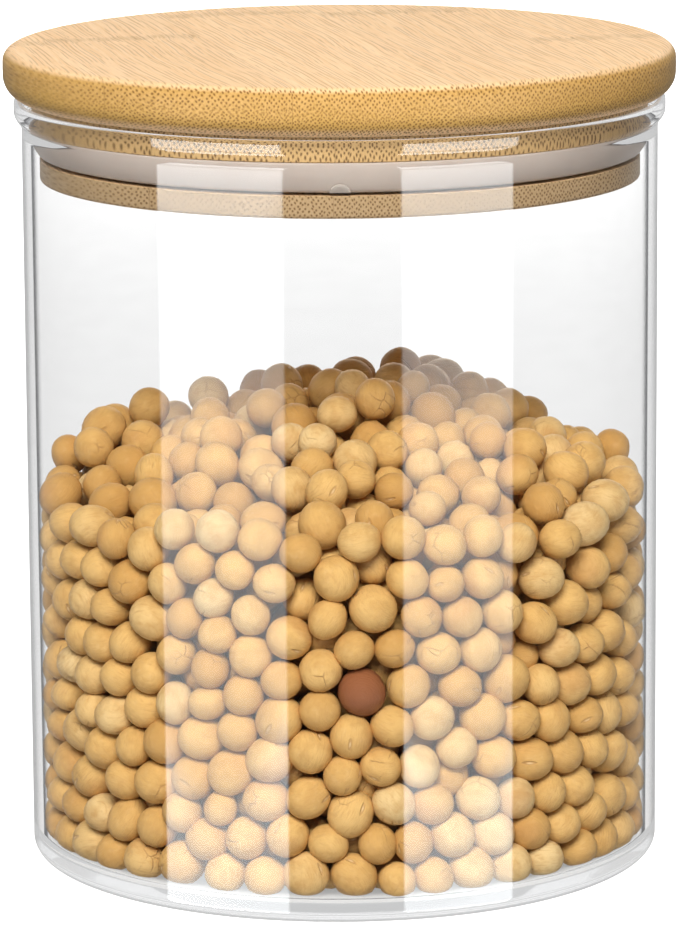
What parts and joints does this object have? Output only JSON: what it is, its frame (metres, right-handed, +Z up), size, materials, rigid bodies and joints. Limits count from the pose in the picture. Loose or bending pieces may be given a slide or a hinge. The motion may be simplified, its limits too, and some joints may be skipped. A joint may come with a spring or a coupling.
{
  "type": "lidded glass canister",
  "caption": "Straight-walled round glass canister with a flared mouth, closed by a push-in laminated bamboo lid with a silicone seal ring.",
  "frame": {"origin": "centre of the jar's flat underside", "axes": "+Z up along the jar's axis, towards the lid; -Y is the front, where the seal's half-moon tab is"},
  "size_m": [0.1056, 0.1056, 0.129],
  "materials": {
    "clear_glass": "clear, polished borosilicate glass",
    "silicone": "soft translucent white silicone, satin",
    "bamboo_disc": "sanded bamboo with a thin satin oil finish",
    "bamboo_plug": "sanded bamboo, end grain round the edge"
  },
  "bodies": {
    "jar": {"glass_jar": "clear_glass"},
    "seal": {"seal_ring": "silicone"},
    "lid": {"disc_strip_1": "bamboo_disc", "disc_strip_2": "bamboo_disc", "disc_strip_3": "bamboo_disc", "disc_strip_4": "bamboo_disc", "disc_strip_5": "bamboo_disc", "plug_strip_1": "bamboo_plug", "plug_strip_2": "bamboo_plug", "plug_strip_3": "bamboo_plug", "plug_strip_4": "bamboo_plug", "plug_strip_5": "bamboo_plug"}
  },
  "joints": [
    {"name": "lid_lift", "type": "slide", "parent": "jar", "child": "seal", "axis": [0, 0, 1], "range_m": [0, 0.12]},
    {"name": "lid_turn", "type": "hinge", "parent": "seal", "child": "lid", "pos_m": [0, 0, 0.115], "axis": [0, 0, 1], "continuous": true}
  ]
}
